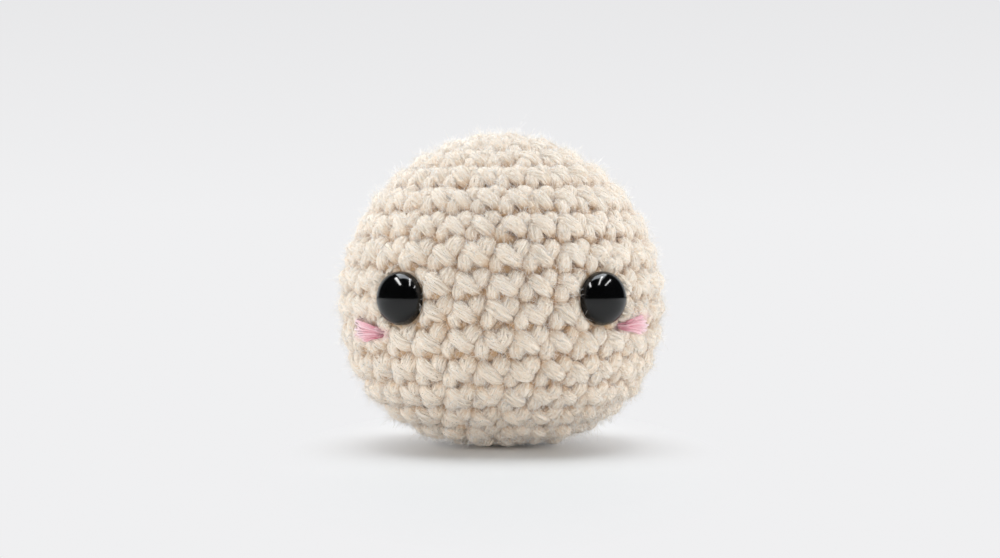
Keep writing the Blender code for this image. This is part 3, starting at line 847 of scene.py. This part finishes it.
yarnLook = {
    "light": (0.995, 0.920, 0.832, 1),
    "dark": (0.905, 0.748, 0.575, 1),
    # painted shade: the warm brown of shaded crevices
    "deep": (0.560, 0.355, 0.188, 1),
    "blush": (0.890, 0.480, 0.560, 1),
    "blushShare": 0.45,
    "looseFibre": (0.998, 0.995, 0.990, 1),
    "sheen": (1.0, 0.98, 0.94, 1),
    "fibreWidth": 0.11 * mm,
    "fibreLength": 1.3 * mm,
    "fibreTwist": 0.30,
    "fibreRelief": 0.07 * mm,
}


def makeYarnMaterial():
    material, shader = newMaterial("creamAcrylicYarn")
    tree = material.node_tree
    link = tree.links.new
    grain = addFibres(tree, yarnLook)
    fibres = rangeOf(tree, grain.outputs["Fibres"], 0.36, 0.64)
    colour = mixColours(tree, fibres, yarnLook["dark"], yarnLook["light"])
    bundles = rangeOf(tree, grain.outputs["Bundles"], 0.35, 0.65, 0.5, 0.0)
    colour = mixColours(tree, bundles, colour, yarnLook["dark"])
    tone = rangeOf(tree, fieldOf(tree, "tone"), 0, 1, 0.0, 0.35)
    colour = mixColours(tree, tone, colour, yarnLook["light"])
    # painted shade: towards that brown by the depth field, a little less on the lighter fibres
    depth = addNode(tree, "ShaderNodeMath", operation="MULTIPLY")
    link(rangeOf(tree, fieldOf(tree, "depth"), 0.10, 0.85), depth.inputs[0])
    link(rangeOf(tree, fibres, 0, 1, 1.0, 0.75), depth.inputs[1])
    colour = mixColours(tree, depth.outputs[0], colour, yarnLook["deep"])
    blush = rangeOf(tree, fieldOf(tree, "blush"), 0, 1, 0.0, yarnLook["blushShare"])
    link(mixColours(tree, blush, colour, yarnLook["blush"]), shader.inputs["Base Color"])
    link(rangeOf(tree, fibres, 0, 1, 0.95, 0.80), shader.inputs["Roughness"])
    shader.inputs["Specular IOR Level"].default_value = 0.25
    shader.inputs["Sheen Weight"].default_value = 0.5
    shader.inputs["Sheen Roughness"].default_value = 0.5
    shader.inputs["Sheen Tint"].default_value = yarnLook["sheen"]
    addBump(tree, grain.outputs["Height"], shader, 1.0, yarnLook["fibreRelief"])
    return material


def makeFuzzMaterial():
    material, shader = newMaterial("creamLooseFibres")
    tree = material.node_tree
    pale = rangeOf(tree, addNoise(tree, in_Scale=900.0, in_Detail=1.0), 0.3, 0.7)
    colour = mixColours(tree, pale, yarnLook["light"], yarnLook["looseFibre"])
    blush = rangeOf(tree, fieldOf(tree, "blush"), 0, 1, 0.0, yarnLook["blushShare"])
    tree.links.new(mixColours(tree, blush, colour, yarnLook["blush"]), shader.inputs["Base Color"])
    shader.inputs["Roughness"].default_value = 0.7
    return material


flossLook = {
    "stops": (  # colours along the fan, from its tip
        (0.0, (0.34, 0.07, 0.10, 1)),
        (0.18, (0.62, 0.19, 0.23, 1)),
        (0.50, (0.86, 0.47, 0.50, 1)),
        (0.85, (0.97, 0.84, 0.83, 1)),
    ),
    "pale": (0.98, 0.79, 0.81, 1),
    # painted shade of the grooves between the fibres
    "groove": (0.55, 0.12, 0.22, 1),
    "fibreWidth": 0.07 * mm,
    "fibreLength": 1.2 * mm,
    "fibreTwist": 0.35,
    "fibreRelief": 0.05 * mm,
}


def makeFlossMaterial():
    material, shader = newMaterial("roseFloss")
    tree = material.node_tree
    link = tree.links.new
    grain = addFibres(tree, flossLook)
    ramp = addNode(tree, "ShaderNodeValToRGB")
    first, *between, last = flossLook["stops"]
    for stop, (position, colour) in zip(list(ramp.color_ramp.elements), (first, last)):
        stop.position, stop.color = position, colour
    for position, colour in between:
        ramp.color_ramp.elements.new(position).color = colour
    link(fieldOf(tree, "along"), ramp.inputs[0])
    tone = rangeOf(tree, fieldOf(tree, "tone"), 0, 1, 0.0, 0.55)
    colour = mixColours(tree, tone, ramp.outputs[0], flossLook["pale"])
    # fibre grain, whose dark strokes are painted shade in the grooves, where the bump is low too
    grooves = rangeOf(tree, grain.outputs["Fibres"], 0.35, 0.65, 0.35, 0.0)
    link(mixColours(tree, grooves, colour, flossLook["groove"]), shader.inputs["Base Color"])
    link(rangeOf(tree, grain.outputs["Fibres"], 0.3, 0.7, 0.55, 0.40), shader.inputs["Roughness"])
    shader.inputs["Sheen Weight"].default_value = 0.3
    addBump(tree, grain.outputs["Height"], shader, 0.6, flossLook["fibreRelief"])
    return material


fillLook = {
    "shade": (0.78, 0.78, 0.76, 1),
    "light": (0.90, 0.90, 0.89, 1),
    "relief": 0.5 * mm,
}


# Polyester fill: white fibres that curl every way, as two noises drawn out by their own distortion.
def makeFillMaterial():
    material, shader = newMaterial("whitePolyesterFill")
    tree = material.node_tree
    strands = addNoise(tree, in_Scale=900.0, in_Detail=3.0, in_Distortion=2.5)
    tufts = addNoise(tree, in_Scale=260.0, in_Detail=2.0, in_Distortion=1.0)
    fibres = rangeOf(tree, strands, 0.35, 0.65)
    colour = mixColours(tree, fibres, fillLook["shade"], fillLook["light"])
    tree.links.new(colour, shader.inputs["Base Color"])
    shader.inputs["Roughness"].default_value = 0.85
    shader.inputs["Sheen Weight"].default_value = 0.3
    height = addNode(tree, "ShaderNodeMath", operation="ADD")
    tree.links.new(strands, height.inputs[0])
    tree.links.new(tufts, height.inputs[1])
    addBump(tree, height.outputs[0], shader, 1.0, fillLook["relief"])
    return material


plasticLook = {  # two shades, the range of the roughness, and the refractive index
    "blackEyePlastic": ((0.0012, 0.0012, 0.0014, 1), (0.0020, 0.0020, 0.0022, 1), (0.09, 0.13), 1.46),
    "whiteWasherPlastic": ((0.72, 0.72, 0.70, 1), (0.66, 0.66, 0.63, 1), (0.40, 0.55), 1.50),
}


# Moulded plastic: a faint unevenness in the gloss, as handling leaves.
def makePlastic(name):
    colour, second, roughness, index = plasticLook[name]
    material, shader = newMaterial(name)
    tree = material.node_tree
    noise = addNoise(tree, in_Scale=420.0, in_Detail=4.0)
    tree.links.new(mixColours(tree, noise, colour, second), shader.inputs["Base Color"])
    tree.links.new(rangeOf(tree, noise, 0.35, 0.65, *roughness), shader.inputs["Roughness"])
    shader.inputs["IOR"].default_value = index
    return material


yarnMaterial = makeYarnMaterial()
fuzzMaterial = makeFuzzMaterial()
flossMaterial = makeFlossMaterial()
fillMaterial = makeFillMaterial()
eyeMaterial = makePlastic("blackEyePlastic")
washerMaterial = makePlastic("whiteWasherPlastic")
print("materials:", len(bpy.data.materials))


# What each piece rides on, stands for and is made of

for piece in yarnPieces:
    piece.data.materials.append(yarnMaterial)
    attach(piece, "root")
    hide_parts("crochet_body")
stuffingPiece.data.materials.append(fillMaterial)
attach(stuffingPiece, "root")
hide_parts("stuffing")
for piece in fuzzPieces:
    piece.data.materials.append(fuzzMaterial)
    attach(piece, "root")
for side in ("left", "right"):
    eyePieces[side].data.materials.append(eyeMaterial)
    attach(eyePieces[side], f"{side}_eye_body")
    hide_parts(f"{side}_eye")
    cheekPieces[side].data.materials.append(flossMaterial)
    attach(cheekPieces[side], "root")
    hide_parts(f"{side}_cheek")
    for slot in frame["nodes"][f"{side}_eye_washer"].material_slots:
        slot.material = washerMaterial


# Floor, light and camera

stage = {
    "floorWidth": 6.0,
    "floorColour": (0.695, 0.678, 0.658, 1),
    "backdropLow": (0.870, 0.870, 0.880, 1),
    "backdropHigh": (0.78, 0.78, 0.79, 1),
    "fadeStart": 25 * mm,  # from the middle of the fade, which is in front of the doll
    "fadeEnd": 100 * mm,
    "fadeShift": (0, 30 * mm, 0),
    "fadeStretch": (3.0, 1.0, 1.0),  # so that the shadow is narrower from side to side
    "roomFront": (0.01, 0.01, 0.01, 1),
    "roomBack": (0.95, 0.98, 1.0, 1),
    "worldStrength": 1.5,
    "lampColour": (0.91, 0.957, 1.0),  # of the lamps above and at the sides
}


def mixShaders(tree, factor, first, second, output):
    mix = addNode(tree, "ShaderNodeMixShader")
    for index, socket in enumerate((factor, first.outputs[0], second.outputs[0])):
        tree.links.new(socket, mix.inputs[index])
    tree.links.new(mix.outputs[0], tree.nodes[output].inputs["Surface"])


# The floor is plain and pale near the doll, where it takes the shadow, and further off the camera sees
# the backdrop's own colour, so that no horizon shows.
def makeFloor():
    half = stage["floorWidth"] / 2
    corners = np.array([(-half, -half, 0), (half, -half, 0), (half, half, 0), (-half, half, 0)])
    floor = meshFrom("floor", corners, [np.array([[0, 1, 2, 3]])])
    material, shader = newMaterial("paleFloor")
    tree = material.node_tree
    shader.inputs["Base Color"].default_value = stage["floorColour"]
    shader.inputs["Roughness"].default_value = 0.9
    shader.inputs["Specular IOR Level"].default_value = 0.1
    stretch, shift = stage["fadeStretch"], stage["fadeShift"]
    stretched = addNode(tree, "ShaderNodeVectorMath", operation="MULTIPLY_ADD", in_1=stretch, in_2=shift)
    distance = addNode(tree, "ShaderNodeVectorMath", operation="LENGTH")
    tree.links.new(addNode(tree, "ShaderNodeTexCoord").outputs["Object"], stretched.inputs[0])
    tree.links.new(stretched.outputs[0], distance.inputs[0])
    fade = rangeOf(tree, distance.outputs["Value"], stage["fadeStart"], stage["fadeEnd"])
    seen = addNode(tree, "ShaderNodeMath", operation="MULTIPLY")
    tree.links.new(fade, seen.inputs[0])
    tree.links.new(addNode(tree, "ShaderNodeLightPath").outputs["Is Camera Ray"], seen.inputs[1])
    far = addNode(tree, "ShaderNodeEmission", in_Color=stage["backdropLow"], in_Strength=1.0)
    mixShaders(tree, seen.outputs[0], shader, far, "Material Output")
    floor.data.materials.append(material)


def makeWorld():
    world = bpy.data.worlds.new("studio")
    bpy.context.scene.world = world
    world.use_nodes = True
    tree = world.node_tree
    light = tree.nodes["Background"]
    light.inputs["Strength"].default_value = stage["worldStrength"]
    seen = addNode(tree, "ShaderNodeBackground", in_Strength=1.0)
    split = addNode(tree, "ShaderNodeSeparateXYZ")
    tree.links.new(addNode(tree, "ShaderNodeTexCoord").outputs["Generated"], split.inputs[0])
    backs = rangeOf(tree, split.outputs["Y"], 0.55, 0.92)
    tree.links.new(mixColours(tree, backs, stage["roomFront"], stage["roomBack"]), light.inputs["Color"])
    rise = rangeOf(tree, split.outputs["Z"], 0.0, 0.12)
    tree.links.new(mixColours(tree, rise, stage["backdropLow"], stage["backdropHigh"]), seen.inputs["Color"])
    toCamera = addNode(tree, "ShaderNodeLightPath").outputs["Is Camera Ray"]
    mixShaders(tree, toCamera, light, seen, "World Output")


def addLamp(name, place, size, radiance, towards=(0, 0, 0.02)):
    lamp = bpy.data.objects.new(name, bpy.data.lights.new(name, "AREA"))
    lamp.data.shape = "RECTANGLE"
    lamp.data.size, lamp.data.size_y = size
    lamp.data.energy = math.pi * size[0] * size[1] * radiance
    lamp.location = place
    x, y, z = np.array(place) - np.array(towards)
    lamp.rotation_euler = (math.atan2(math.hypot(x, y), z), 0, math.atan2(x, -y))
    bpy.context.scene.collection.objects.link(lamp)
    return lamp


makeFloor()
makeWorld()
top = addLamp("topSoftbox", (0, 0.13, 0.59), (0.5, 0.4), 6.2)
for place, width in ((-0.27, 0.085), (0.12, 0.045), (0.40, 0.045)):  # shown by the gloss alone
    tube = addLamp("tube", (place, -0.15, 0.45), (width, 0.40), 20.0, (place, -0.15, 0))
    tube.visible_diffuse = False
fills = [
    addLamp("leftFill", (-0.60, 0.0, 0.165), (0.6, 0.30), 5.1),
    addLamp("rightFill", (0.60, 0.0, 0.165), (0.6, 0.30), 5.1),
    addLamp("frontFill", (0, -0.90, 0.085), (1.6, 0.16), 5.0),
]
for lamp in fills:
    lamp.visible_glossy = False
for lamp in (top, *fills[:2]):
    lamp.data.color = stage["lampColour"]
print("lamps:", len(bpy.data.lights))

view = {
    "distance": 400 * mm,
    "elevation": math.radians(2.0),
    "pixelsPerMm": 6.46,
    "frame": (1000, 558),
    "ballPixel": (501.5, 302),
    "sensorWidth": 36,
}
camera = bpy.data.objects.new("camera", bpy.data.cameras.new("camera"))
bpy.context.scene.collection.objects.link(camera)
target = np.array([0, 0, ball["widestHeight"]])
away = np.array([0, -math.cos(view["elevation"]), math.sin(view["elevation"])])
camera.location = target + away * view["distance"]
camera.rotation_euler = (math.pi / 2 - view["elevation"], 0, 0)
camera.data.sensor_width = view["sensorWidth"]
camera.data.lens = view["sensorWidth"] * view["distance"] / (view["frame"][0] / view["pixelsPerMm"] * mm)
camera.data.shift_x = (view["frame"][0] / 2 - view["ballPixel"][0]) / view["frame"][0]
camera.data.shift_y = (view["ballPixel"][1] - view["frame"][1] / 2) / view["frame"][0]
camera.data.clip_start = 10 * mm
bpy.context.scene.camera = camera
bpy.context.scene.view_settings.view_transform = "Standard"
